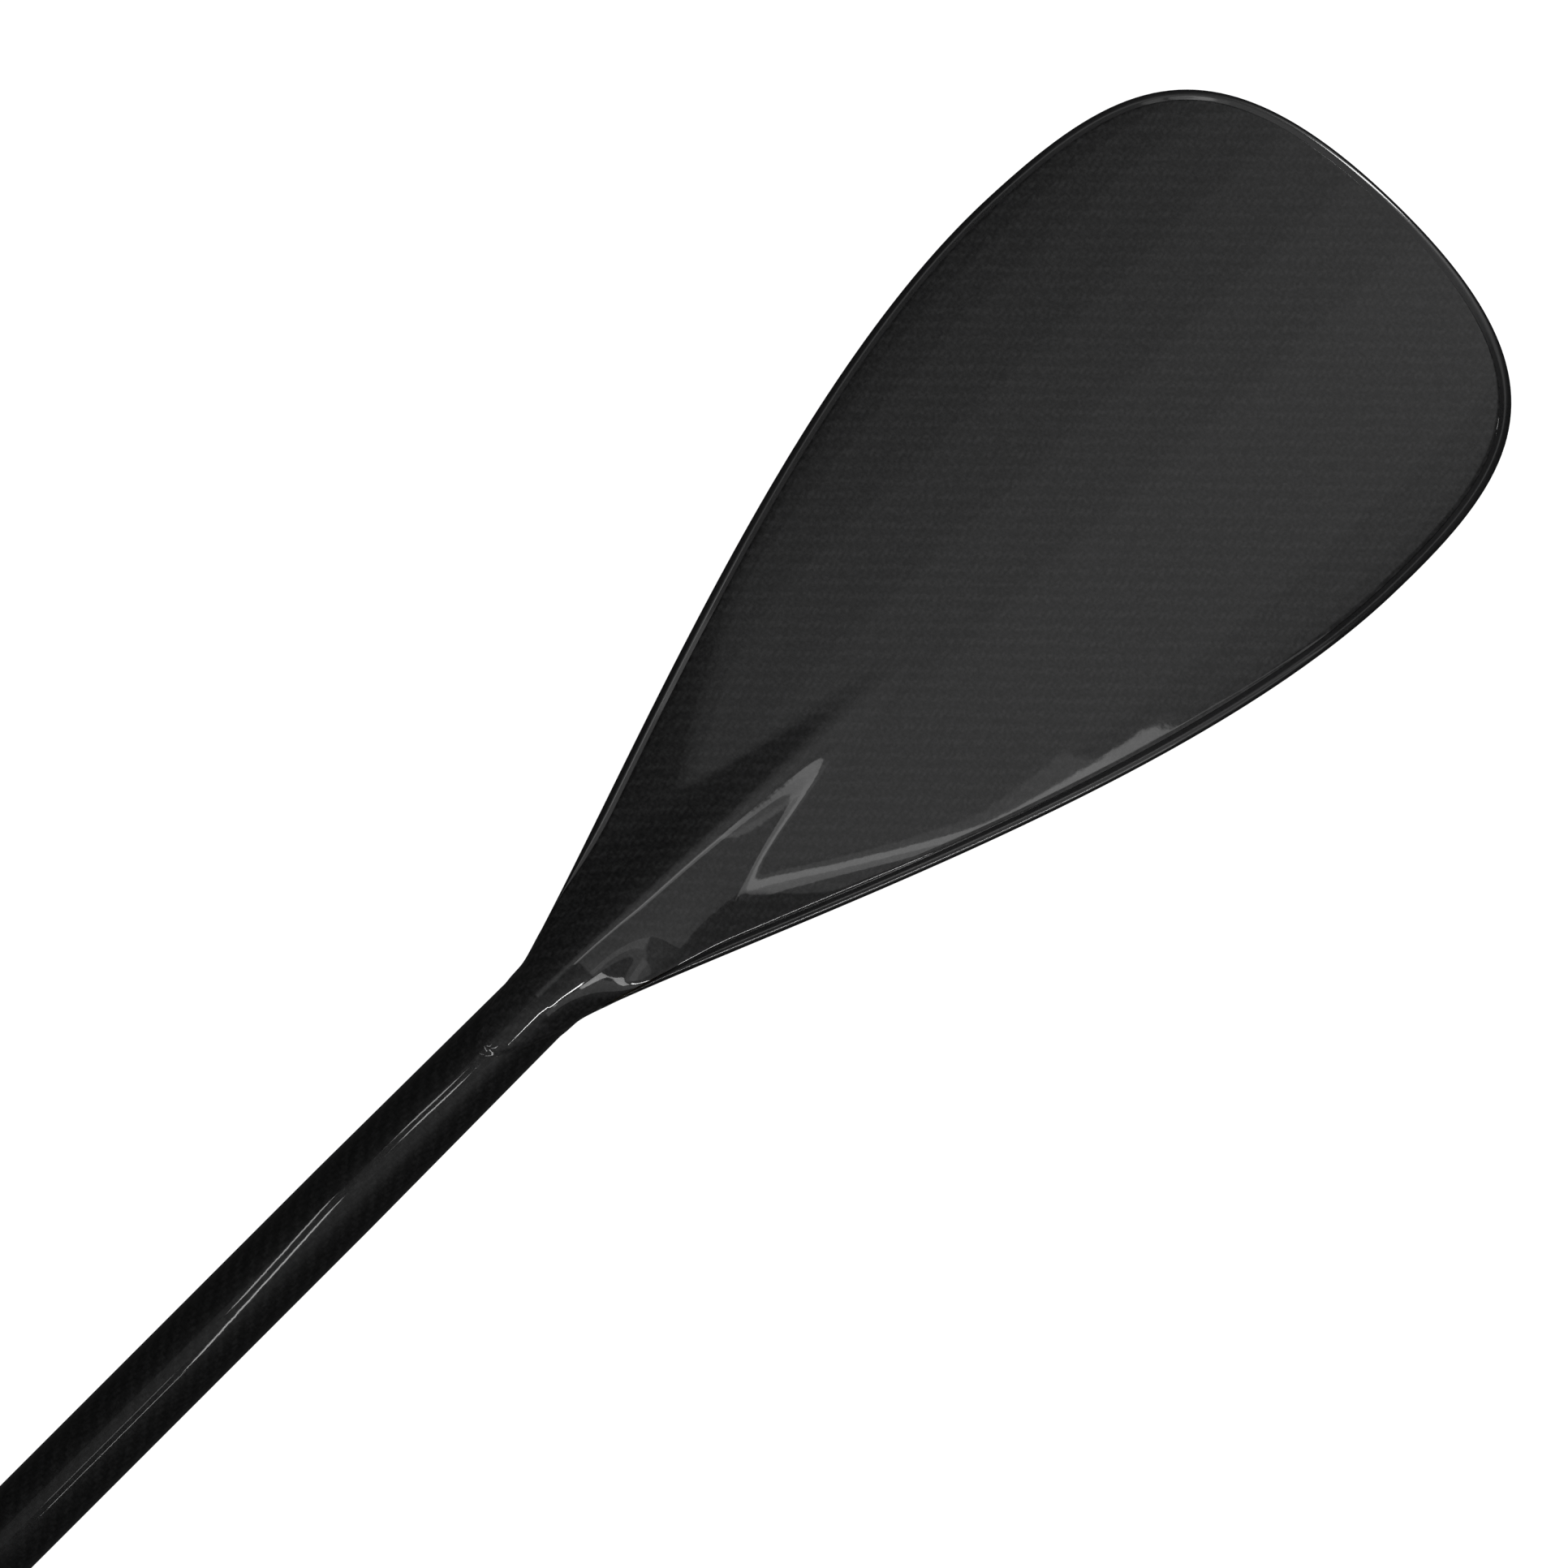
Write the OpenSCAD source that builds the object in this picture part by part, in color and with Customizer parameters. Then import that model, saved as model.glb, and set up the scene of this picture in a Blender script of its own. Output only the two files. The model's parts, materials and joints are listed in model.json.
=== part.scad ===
// Two-piece double-bladed kayak paddle.
// X runs along the shaft, Z is up, the blades lie back face up and rest on their tips.

/* [Paddle] */
// Overall length with both halves pushed fully together
paddle_len = 2300; // [2100:10:2500]
// Angle between the blade and the shaft line
lean = 10; // [2:1:15]

/* [Shaft] */
// Outside diameter of the shaft
shaft_d = 30; // [28:0.5:32]
// Wall of the shaft tube
shaft_wall = 1.3; // [1:0.1:2]
// Outside diameter where the shaft enters the blade
neck_d = 28.5; // [27:0.5:30]
// Length over which the shaft narrows towards the blade
taper_len = 105; // [60:5:150]

/* [Blade] */
// Blade length from neck to tip
blade_len = 448; // [400:1:480]
// Blade width at its widest point
blade_w = 218.6; // [180:0.2:230]
// Thickness of the blade edge
edge_t = 3.5; // [2.5:0.5:5]
// Width of the rim band
rim_w = 4.5; // [3:0.5:7]
// Thickness of each skin
skin_t = 0.9; // [0.6:0.1:1.5]
// Extra height of the back face at the middle of the blade
back_dome = 3; // [1:0.5:6]
// Extra height of the power face at the middle of the blade
power_dome = 1; // [0:0.5:3]
// Distance from the neck at which the back spine has faded out
spine_len = 210; // [150:5:250]
// Length of the tongue that laps onto the shaft
tongue_len = 30; // [15:1:45]

/* [Centre joint] */
// Outside diameter of the sliding spigot
spigot_d = 26; // [24:0.5:27]
// Outside diameter of the clamp collar
collar_d = 38; // [36:1:44]

/* [Which piece] */
// Piece to draw

/* [Hidden] */

$fn = 64;
carbon = [0.05, 0.05, 0.055];
foam = [0.9, 0.88, 0.8];
soft = [0.12, 0.12, 0.13];
metal = [0.75, 0.76, 0.78];
moulded = [0.09, 0.09, 0.1];
glue = 0.05;                         // gap of a bonded joint
run = 0.05;                          // radial clearance of a running fit
shaft_r = shaft_d / 2;
bore_r = shaft_r - shaft_wall;
neck_r = neck_d / 2;
neck_bore_r = neck_r - shaft_wall;
lap_t = 0.45;                        // thickness of the tongue on the shaft
half_w = blade_w / 2;
edge_h = edge_t / 2;
bend_len = 24;                       // length over which the blade turns away from the shaft line
bend_r = bend_len / (lean * PI / 180);
wide_s = 0.7533 * blade_len;         // station of the widest point

// Centre line of the blade in the X-Z plane, measured from the neck
function line_x(s) = s < 0 ? s
    : s < bend_len ? bend_r * sin(lean * s / bend_len)
    : bend_r * sin(lean) + (s - bend_len) * cos(lean);
function line_z(s) = s < 0 ? 0
    : s < bend_len ? -bend_r * (1 - cos(lean * s / bend_len))
    : -bend_r * (1 - cos(lean)) - (s - bend_len) * sin(lean);
function turn(s) = s < 0 ? 0 : s < bend_len ? lean * s / bend_len : lean;

neck_x = paddle_len / 2 - line_x(blade_len);
axis_z = -line_z(blade_len - 0.6 * (rim_w - glue)) + 0.92 * edge_h * cos(lean);

// Point of the blade: s along it, t across it, n towards the back face
function place(s, t, n) = [neck_x + line_x(s) + n * sin(turn(s)), t,
    axis_z + line_z(s) + n * cos(turn(s))];

function ease(q) = q <= 0 ? 0 : q >= 1 ? 1 : q * q * (3 - 2 * q);
function mix(a, b, q) = a + (b - a) * q;
function bezier(p, q) = pow(1 - q, 3) * p[0] + 3 * pow(1 - q, 2) * q * p[1]
    + 3 * (1 - q) * q * q * p[2] + pow(q, 3) * p[3];

// Half outline of the blade as two Bezier curves: q 0 to 1 up to the widest point, 1 to 2 to the tip
root_h = neck_r - 1.1;
side = [[0, root_h], [0.1739 * blade_len, root_h + 0.0567 * blade_len],
    [wide_s - 0.2422 * blade_len, half_w], [wide_s, half_w]];
tip = [[wide_s, half_w], [wide_s + 0.1524 * blade_len, half_w],
    [blade_len, 0.905 * half_w], [blade_len, 0]];
root_r = neck_r + lap_t - 0.1;
function fillet(w) = (w + root_r + sqrt(pow(w - root_r, 2) + 1)) / 2;
function outline(q) = q <= 1 ? let (p = bezier(side, q)) [p[0], fillet(p[1])] : bezier(tip, q - 1)
    + [0, 0.003 * (2 - q)];
function inward(q) = let (a = outline(max(q - 0.003, 0)), b = outline(min(q + 0.003, 2)), d = b - a)
    [d[1], -d[0]] / norm(d);
function rim_at(s) = rim_w * ease((s - 8) / 60);
function inset(q) = outline(q) + rim_at(outline(q)[0]) * inward(q);

// Heights of the two faces above the blade's middle plane
function edge_at(s) = edge_h * ease(s / 30);
// Section of the spine: round at the neck, a bell with soft feet further out
function spine_shape(q, s) = q >= 1 ? 0
    : mix(sqrt(1 - q * q), pow(1 - q * q, 2.6), ease(s / 50));
function height(s, t, w, dome, fade) = let (
    fall = ease((s - 75) / 95),
    rise = dome * ease(s / 95) * (1 - 0.88 * fall) * ease((blade_len - s) / 60),
    base = edge_at(s) + rise * (1 - pow(abs(t / w), 2.4 + 9.6 * fall)),
    left = max(0, 1 - s / fade),
    foot = min(w, 0.18 * fade * (left + 0.02)))
    base + (neck_r + lap_t) * pow(left, 3) * spine_shape(abs(t) / foot, s);

// Grids of points: stations along the blade by positions across it
across = 14;
lap_n = 3;
side_n = 14;
tip_n = 12;
function ang(j) = 89.5 * (2 * j / across - 1);
stops = concat([for (i = [1:side_n]) pow(i / side_n, 1.25)], [for (i = [1:tip_n]) 1 + 0.985 * i / tip_n]);
function hull_r(s) = mix(neck_r, shaft_r, min(1, max(0, -s / taper_len)));
function tongue(a) = -(2 + (tongue_len - 2) * pow(cos(a), 2));
function thin(s) = 1 - ease(s / 50);

function lap_row(i, side_sign, out) = [for (j = [0:across]) let (
    a = ang(j), s = tongue(a) * (1 - i / lap_n), r = hull_r(s) + out)
    place(s, r * sin(a), side_sign * r * cos(a))];
// depth 0 is the outer surface, skin_t the inner one
function face_row(q, side_sign, depth, dome, fade) = [for (j = [0:across]) let (
    a = ang(j), o = outline(q), p = inset(q), s = p[0], k = thin(s),
    t = p[1] * sin(a), n = height(s, t, max(o[1], p[1]), dome, fade))
    place(s, (p[1] - depth * k) * sin(a), side_sign * (n - depth * (k * cos(a) + 1 - k)))];

function skin_grid(side_sign, inner, dome, fade) = concat(
    [for (i = [0:lap_n]) lap_row(i, side_sign, inner ? 0.03 : lap_t)],
    [for (q = stops) face_row(q, side_sign, inner ? skin_t : 0, dome, fade)]);

// Closed solid between two grids of the same size
module between(a, b) {
    rows = len(a);
    cols = len(a[0]);
    size = rows * cols;
    points = concat([for (r = a, p = r) p], [for (r = b, p = r) p]);
    flat = [for (i = [0:rows - 2], j = [0:cols - 2]) let (k = i * cols + j)
        [[k, k + 1, k + cols + 1], [k, k + cols + 1, k + cols]]];
    top = [for (f = flat, g = f) g];
    bottom = [for (g = top) [g[0] + size, g[2] + size, g[1] + size]];
    loop = concat([for (j = [0:cols - 2]) j], [for (i = [0:rows - 2]) i * cols + cols - 1],
        [for (j = [cols - 1:-1:1]) (rows - 1) * cols + j], [for (i = [rows - 1:-1:1]) i * cols]);
    edge = [for (i = [0:len(loop) - 1]) let (p = loop[i], q = loop[(i + 1) % len(loop)])
        [[p, p + size, q + size], [p, q + size, q]]];
    polyhedron(points, concat(top, bottom, [for (f = edge, g = f) g]));
}

module back_skin() {
    color(carbon) between(skin_grid(1, false, back_dome, spine_len),
        skin_grid(1, true, back_dome, spine_len));
}

module power_skin() {
    color(carbon) between(skin_grid(-1, true, power_dome, 0.7 * spine_len),
        skin_grid(-1, false, power_dome, 0.7 * spine_len));
}

core_first = 6;                      // station at which the neck plug ends and the foam begins
fill = skin_t + 0.1;
module fill_solid(list) {
    between([for (q = list) face_row(q, 1, fill, back_dome, spine_len)],
        [for (q = list) face_row(q, -1, fill, power_dome, 0.7 * spine_len)]);
}

module blade_core() {
    rest = [for (i = [core_first + 1:len(stops) - 1]) stops[i]];
    color(foam) fill_solid(concat([stops[core_first] + 0.001], rest));
}

plug_r = neck_bore_r - glue;
plug_in = 60;                        // depth of the plug inside the shaft
function ring_row(s, r, side_sign) = [for (j = [0:across])
    place(s, r * sin(ang(j)), side_sign * r * cos(ang(j)))];
module neck_plug() {
    tail = [[-plug_in, plug_r - 1.5], [-plug_in + 2, plug_r], [-0.5, plug_r], [0.5, neck_bore_r + 0.2]];
    body = [for (i = [0:core_first]) stops[i]];
    color(foam) between(concat([for (p = tail) ring_row(p[0], p[1], 1)],
            [for (q = body) face_row(q, 1, fill, back_dome, spine_len)]),
        concat([for (p = tail) ring_row(p[0], p[1], -1)],
            [for (q = body) face_row(q, -1, fill, power_dome, 0.7 * spine_len)]));
}

// Rim band: a bevelled profile carried round the outline from one shoulder to the other
rim_first = 0.09;
function rim_stops(n) = concat([for (i = [0:n]) mix(rim_first, 1, i / n)],
    [for (i = [1:n]) 1 + i / n]);
rim_half = [[1, 1], [0.6, 0.92], [0.3, 0.71], [0.1, 0.44], [0, 0.12]];
rim_profile = concat(rim_half, [for (i = [len(rim_half) - 1:-1:0]) [rim_half[i][0], -rim_half[i][1]]]);
module rim() {
    half = rim_stops(18);
    count = len(half);
    path = concat([for (i = [0:count - 1]) [half[i], 1]], [for (i = [count - 2:-1:0]) [half[i], -1]]);
    m = len(rim_profile);
    points = [for (c = path, f = rim_profile) let (
        o = outline(c[0]), p = o + f[0] * (rim_at(o[0]) - glue) * inward(c[0]))
        place(p[0], c[1] * max(p[1], 0), f[1] * edge_at(o[0]))];
    sides = [for (i = [0:len(path) - 2], j = [0:m - 1]) let (
        a = i * m + j, b = i * m + (j + 1) % m, c = b + m, d = a + m)
        [[a, b, c], [a, c, d]]];
    ends = [[for (j = [m - 1:-1:0]) j], [for (j = [0:m - 1]) (len(path) - 1) * m + j]];
    color(moulded) polyhedron(points, concat([for (f = sides, g = f) g], ends));
}

// Rod along X at the shaft line
module rod(x0, x1, r) {
    translate([x0, 0, axis_z]) rotate([0, 90, 0]) cylinder(h = x1 - x0, r = r);
}

module frustum(x0, x1, r0, r1) {
    translate([x0, 0, axis_z]) rotate([0, 90, 0]) cylinder(h = x1 - x0, r1 = r0, r2 = r1);
}

// Shaft tube from the joint to the neck, drawn for the right half
module shaft(start) {
    color(carbon) difference() {
        union() {
            rod(start, neck_x - taper_len, shaft_r);
            frustum(neck_x - taper_len, neck_x, shaft_r, neck_r);
        }
        rod(start - 1, neck_x - taper_len - 5, bore_r);
        frustum(neck_x - taper_len - 5.001, neck_x - 62, bore_r, neck_bore_r);
        rod(neck_x - 62.001, neck_x + 1, neck_bore_r);
    }
}

module float_plug() {
    color(foam) rod(neck_x - 165, neck_x - 125, bore_r - glue);
}

// Drip ring: a soft hub with a cup that opens towards the blade
ring_x = neck_x - 314;
module drip_ring() {
    color(soft) translate([ring_x, 0, axis_z]) rotate([0, 90, 0]) rotate_extrude()
        polygon([[shaft_r + run, 0], [shaft_r + 2.2, 0], [shaft_r + 2.6, 2.4], [shaft_r + 8, 8.5],
            [shaft_r + 8.6, 11.6], [shaft_r + 7.4, 11.9], [shaft_r + 6.2, 9.4], [shaft_r + 2.8, 6.2],
            [shaft_r + 2.2, 14], [shaft_r + run, 14]]);
}

// Hand grip: a thin sleeve with an index swelling under the fingers
grip_x = neck_x - 432;
grip_len = 100;
module hand_grip() {
    color(soft) difference() {
        union() {
            rod(grip_x, grip_x + grip_len, shaft_r + 0.9);
            translate([0, 0, -3.4]) rod(grip_x + 6, grip_x + grip_len - 6, shaft_r - 1.4);
            translate([0, 0, -3.4]) frustum(grip_x + 2, grip_x + 6, shaft_r - 4, shaft_r - 1.4);
            translate([0, 0, -3.4]) frustum(grip_x + grip_len - 6, grip_x + grip_len - 2,
                shaft_r - 1.4, shaft_r - 4);
        }
        rod(grip_x - 1, grip_x + grip_len + 1, shaft_r + 0.03);
    }
}

// Centre joint
spigot_r = spigot_d / 2;
spigot_bore = spigot_r - 1.5;
spigot_in = 168;                     // reach of the spigot into the left half
sleeve_end = -2;
collar_a = -31;
collar_b = -7;
collar_r = collar_d / 2;
ear_y = collar_r + 8;
slit = 3;
face_x = 17;                         // outer face of the index ring
right_start = 24;                    // where the right shaft begins
left_start = 34;                     // where the left shaft begins

module female_sleeve() {
    color(metal) difference() {
        union() {
            rod(-122, -left_start, bore_r - glue);
            rod(-left_start, sleeve_end, shaft_r);
        }
        rod(-123, 0, spigot_r + run);
        translate([-32, 0, axis_z - slit / 2]) cube([31, 20, slit]);
    }
}

module clamp_collar() {
    wide = collar_b - collar_a;
    color(moulded) difference() {
        union() {
            rod(collar_a, collar_b, collar_r);
            translate([collar_a, 0, axis_z - 8]) cube([wide, ear_y, 16]);
            translate([collar_a, ear_y, axis_z]) rotate([0, 90, 0]) cylinder(h = wide, r = 8);
        }
        rod(collar_a - 1, collar_b + 1, shaft_r + 0.03);
        translate([collar_a - 1, 0, axis_z - slit / 2]) cube([wide + 2, ear_y + 10, slit]);
        translate([-19, ear_y, axis_z - 10]) cylinder(h = 20, r = 2.6);
        translate([collar_a - 1, ear_y - 4.6, axis_z + 6.5]) cube([wide + 2, 14, 4]);
        translate([collar_a - 1, ear_y - 6.6, axis_z - 10.5]) cube([wide + 2, 16, 4]);
    }
}

pin_z = 14.2;
cam_r = 6;
module cam_saddle() {
    color(moulded) difference() {
        translate([-29, ear_y - 4.5, axis_z + 6.55]) cube([20, 9, 3]);
        translate([-30, ear_y, axis_z + pin_z]) rotate([0, 90, 0]) cylinder(h = 22, r = cam_r + 0.1);
        translate([-19, ear_y, axis_z + 5]) cylinder(h = 8, r = 2.6);
    }
}

module clamp_bolt() {
    color(metal) difference() {
        union() {
            translate([-19, ear_y, axis_z - 15.5]) cylinder(h = pin_z + 15.5, r = 2.5);
            translate([-21.5, ear_y, axis_z + pin_z]) rotate([0, 90, 0]) cylinder(h = 5, r = 4);
        }
        translate([-22, ear_y, axis_z + pin_z]) rotate([0, 90, 0]) cylinder(h = 6, r = 2.05);
    }
}

module lever_pin() {
    color(metal) translate([-29, ear_y, axis_z + pin_z]) rotate([0, 90, 0]) cylinder(h = 20, r = 2);
}

module cam_lever() {
    arm_in = collar_r + 2;
    arm_out = collar_r + 5.2;
    color(moulded) difference() {
        union() {
            translate([-28, ear_y, axis_z + pin_z]) rotate([0, 90, 0]) cylinder(h = 18, r = cam_r);
            difference() {
                rod(-28, -10, arm_out);
                rod(-29, -9, arm_in);
                translate([-30, -40, axis_z - 50]) cube([24, 80, 50]);
                translate([-30, 0, axis_z]) rotate([29, 0, 0]) translate([0, 0, -60]) cube([24, 60, 60]);
            }
            translate([-28, ear_y - 9, axis_z + pin_z + 0.5]) cube([18, 9, 5.5]);
            translate([-28, -arm_out, axis_z - 13]) cube([18, arm_out - arm_in, 13.1]);
            translate([-28, -arm_out + 1.6, axis_z - 13]) rotate([0, 90, 0]) cylinder(h = 18, r = 2.4);
        }
        translate([-30, ear_y, axis_z + pin_z]) rotate([0, 90, 0]) cylinder(h = 22, r = 2 + run);
        translate([-22, ear_y - 7, axis_z + pin_z - 7]) cube([6, 16, 14]);
        rod(-29, -9, arm_in - 0.5);
    }
}

module tension_nut() {
    color(metal) difference() {
        translate([-19, ear_y, axis_z - 12]) cylinder(h = 5.3, r = 6);
        translate([-19, ear_y, axis_z - 13]) cylinder(h = 8, r = 2.55);
        for (k = [0:11]) translate([-19, ear_y, axis_z - 13]) rotate([0, 0, 30 * k])
            translate([6.5, 0, 0]) cylinder(h = 8, r = 0.9);
    }
}

module index_ring() {
    key = 3.8;
    color(moulded) {
        difference() {
            union() {
                rod(-6, face_x, collar_r - 1);
                for (k = [0:23]) translate([0, 0, axis_z]) rotate([15 * k, 0, 0])
                    translate([3, 0, collar_r - 1]) rotate([0, 90, 0]) cylinder(h = 11, r = 0.8);
            }
            rod(-7, -1.9, shaft_r + 0.06);
            rod(-2, face_x + 1, spigot_r + run);
            rod(8, 10.4, spigot_r + 1.9);
        }
        translate([0, -key / 2, axis_z + spigot_r - 0.6]) cube([6, key, 1.2]);
    }
}

module ring_seal() {
    color(soft) translate([9.2, 0, axis_z]) rotate([0, 90, 0]) rotate_extrude()
        translate([spigot_r + run + 0.85, 0]) circle(r = 0.85);
}

module spigot_tube() {
    color(carbon) difference() {
        union() {
            rod(-spigot_in, right_start - 6, spigot_r);
            rod(right_start - 6.5, 110, bore_r - glue);
        }
        rod(-spigot_in - 1, 111, spigot_bore);
        translate([-spigot_in - 1, -2, axis_z + spigot_r - 0.7]) cube([spigot_in + 9, 4, 2]);
    }
}

module spigot_end_cap() {
    color(soft) {
        rod(-spigot_in - 2.5, -spigot_in - 0.02, spigot_r - 0.4);
        rod(-spigot_in - 0.03, -spigot_in + 8, spigot_bore - glue);
    }
}

module stop_ring() {
    color(moulded) difference() {
        union() {
            rod(face_x + 0.6, right_start + 12, shaft_r + 1.6);
            rod(face_x + 0.6, right_start, collar_r - 1);
        }
        rod(face_x, right_start + 0.02, bore_r);
        rod(right_start, right_start + 13, shaft_r + 0.03);
    }
}

// The left half is the right one mirrored
module flip() {
    mirror([1, 0, 0]) children();
}

flip() shaft(left_start);  // left_shaft
flip() back_skin();  // left_back_skin
flip() power_skin();  // left_power_skin
flip() blade_core();  // left_blade_core
flip() rim();  // left_rim
flip() neck_plug();  // left_neck_plug
flip() float_plug();  // left_float_plug
flip() drip_ring();  // left_drip_ring
flip() hand_grip();  // left_hand_grip
shaft(right_start);  // right_shaft
back_skin();  // right_back_skin
power_skin();  // right_power_skin
blade_core();  // right_blade_core
rim();  // right_rim
neck_plug();  // right_neck_plug
float_plug();  // right_float_plug
drip_ring();  // right_drip_ring
hand_grip();  // right_hand_grip
female_sleeve();
clamp_collar();
cam_lever();
lever_pin();
clamp_bolt();
cam_saddle();
tension_nut();
index_ring();
ring_seal();
spigot_tube();
spigot_end_cap();
stop_ring();
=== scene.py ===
"""Looks of the two-piece double-bladed carbon paddle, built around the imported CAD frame."""
import json
import math

import bmesh
import bpy
from mathutils import Matrix, Vector


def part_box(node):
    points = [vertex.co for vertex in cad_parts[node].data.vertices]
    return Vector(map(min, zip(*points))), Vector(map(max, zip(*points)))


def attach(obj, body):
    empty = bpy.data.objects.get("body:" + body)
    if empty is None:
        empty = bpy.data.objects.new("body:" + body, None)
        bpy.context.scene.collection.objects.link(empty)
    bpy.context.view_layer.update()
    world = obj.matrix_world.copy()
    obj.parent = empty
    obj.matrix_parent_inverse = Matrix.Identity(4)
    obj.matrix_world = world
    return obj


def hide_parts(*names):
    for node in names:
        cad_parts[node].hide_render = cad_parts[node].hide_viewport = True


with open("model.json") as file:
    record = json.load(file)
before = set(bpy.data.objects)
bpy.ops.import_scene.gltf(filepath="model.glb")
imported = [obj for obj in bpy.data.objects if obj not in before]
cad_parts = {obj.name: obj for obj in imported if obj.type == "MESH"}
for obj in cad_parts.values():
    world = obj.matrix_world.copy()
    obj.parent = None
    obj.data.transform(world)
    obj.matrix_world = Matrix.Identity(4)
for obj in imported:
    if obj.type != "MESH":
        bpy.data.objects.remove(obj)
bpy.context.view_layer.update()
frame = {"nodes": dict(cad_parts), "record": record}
MM = 0.001
SIDES = {"right": 1, "left": -1}


# ---------------------------------------------------------------- sizes, read from the frame
def size_of(node):
    low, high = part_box(node)
    return [high[k] - low[k] for k in range(3)]


SHAFT_LOW, SHAFT_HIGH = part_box("right_shaft")
AXIS_Z = (SHAFT_LOW[2] + SHAFT_HIGH[2]) / 2
SHAFT_R = round(size_of("right_shaft")[1] / 2, 4)
SHAFT_START = {"right": SHAFT_LOW[0], "left": -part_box("left_shaft")[1][0]}
NECK_X = SHAFT_HIGH[0]
HALF_W = size_of("right_rim")[1] / 2
TIP_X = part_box("right_rim")[1][0]

LEAN = math.radians(10)
WALL = 1.3 * MM
NECK_R = 14.25 * MM
TAPER = 105 * MM
BEND = 24 * MM
BEND_R = BEND / LEAN
BLADE = BEND + (TIP_X - NECK_X - BEND_R * math.sin(LEAN)) / math.cos(LEAN)
WIDE_S = 0.7533 * BLADE
EDGE = 1.75 * MM
ROLL_OFF = 0.24 * MM
ROLL_W = 1.3 * MM
RIM_W = 4.5 * MM
SKIN = 0.9 * MM
LAP = 0.45 * MM
TONGUE = 30 * MM
SPINE = 210 * MM
DOME = {1: 3 * MM, -1: 1 * MM}
HUMP_END = 75 * MM
HUMP_RUN = 95 * MM
TIP_RUN = 60 * MM
EDGE_RUN = 30 * MM
ROUND_RUN = 50 * MM
BOND = 0.05 * MM
FADE = {1: SPINE, -1: 0.7 * SPINE}
TOW = 2 * MM
TOWS_ROUND = 48
AXES = {"X": Matrix.Identity(3), "Z": Matrix(((0, 1, 0), (0, 0, 1), (1, 0, 0)))}
scene = bpy.context.scene


# ---------------------------------------------------------------- shape of the blade
def ease(q):
    q = min(max(q, 0), 1)
    return q * q * (3 - 2 * q)


def mix(a, b, q):
    return a + (b - a) * q


def line(s):
    """Centre line of the blade at s from the neck: x, z and how far it has turned."""
    if s < 0:
        return s, 0, 0
    if s < BEND:
        a = s / BEND_R
        return BEND_R * math.sin(a), -BEND_R * (1 - math.cos(a)), a
    d = s - BEND
    return (BEND_R * math.sin(LEAN) + d * math.cos(LEAN),
            -BEND_R * (1 - math.cos(LEAN)) - d * math.sin(LEAN), LEAN)


def place(s, t, n):
    """Point of the right blade: s along it, t across it, n towards the back face."""
    x, z, a = line(s)
    return NECK_X + x + n * math.sin(a), t, AXIS_Z + z + n * math.cos(a)


def bezier(p, q):
    w = ((1 - q) ** 3, 3 * (1 - q) ** 2 * q, 3 * (1 - q) * q * q, q ** 3)
    return sum(k * c[0] for k, c in zip(w, p)), sum(k * c[1] for k, c in zip(w, p))


ROOT_H = NECK_R - 1.1 * MM
ROOT_R = NECK_R + LAP - 0.1 * MM
SIDE_CURVE = [(0, ROOT_H), (0.1739 * BLADE, ROOT_H + 0.0567 * BLADE),
              (WIDE_S - 0.2422 * BLADE, HALF_W), (WIDE_S, HALF_W)]
TIP_CURVE = [(WIDE_S, HALF_W), (WIDE_S + 0.1524 * BLADE, HALF_W),
             (BLADE, 0.905 * HALF_W), (BLADE, 0)]


def outline(q):
    """Half outline: q 0 to 1 runs from the neck to the widest point, 1 to 2 on to the tip."""
    if q > 1:
        return bezier(TIP_CURVE, q - 1)
    s, w = bezier(SIDE_CURVE, q)
    return s, (w + ROOT_R + math.hypot(w - ROOT_R, 1 * MM)) / 2


def inward(q):
    a, b = outline(max(q - 0.003, 0)), outline(min(q + 0.003, 2))
    ds, dw = b[0] - a[0], b[1] - a[1]
    d = math.hypot(ds, dw)
    return dw / d, -ds / d


def rim_at(s):
    return RIM_W * ease((s - 8 * MM) / (60 * MM))


def inset(q, k=1.0):
    s, w = outline(q)
    n = inward(q)
    d = k * rim_at(s)
    return s + d * n[0], max(w + d * n[1], 0)


def edge_at(s):
    return EDGE * ease(s / EDGE_RUN)


def soft_max(a, b, k):
    return max(a, b) + max(0, k - abs(a - b)) ** 2 / (4 * k)


def spine_shape(q, s):
    """Section of the spine: round at the neck, a bell with soft feet further out."""
    if q >= 1:
        return 0
    return mix(math.sqrt(1 - q * q), (1 - q * q) ** 2.6, ease(s / ROUND_RUN))


def height(s, t, w, side):
    """Height of a face above the blade's middle plane."""
    fade = FADE[side]
    fall = ease((s - HUMP_END) / HUMP_RUN)
    rise = DOME[side] * ease(s / HUMP_RUN) * mix(1, 0.12, fall)
    rise *= ease((BLADE - s) / TIP_RUN)
    left = max(0, 1 - s / fade)
    foot = min(w, 0.18 * fade * (left + 0.02))
    spine = (NECK_R + LAP) * left ** 3 * spine_shape(abs(t) / foot, s)
    return edge_at(s) + rise * (1 - abs(t / w) ** mix(2.4, 12, fall)) + spine


def shaft_radius(s):
    return mix(NECK_R, SHAFT_R, min(1, max(0, -s / TAPER)))


ACROSS = 96
ANGLES = [math.radians(89.5 * (2 * j / ACROSS - 1)) for j in range(ACROSS + 1)]
LAP_ROWS = 10
SIDE_ROWS = 110
TIP_ROWS = 60
STOPS = [(k / SIDE_ROWS) ** 1.25 for k in range(1, SIDE_ROWS + 1)]
STOPS += [1 + 0.998 * math.sin(math.pi / 2 * k / TIP_ROWS) ** 0.9 for k in range(1, TIP_ROWS + 1)]


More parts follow.
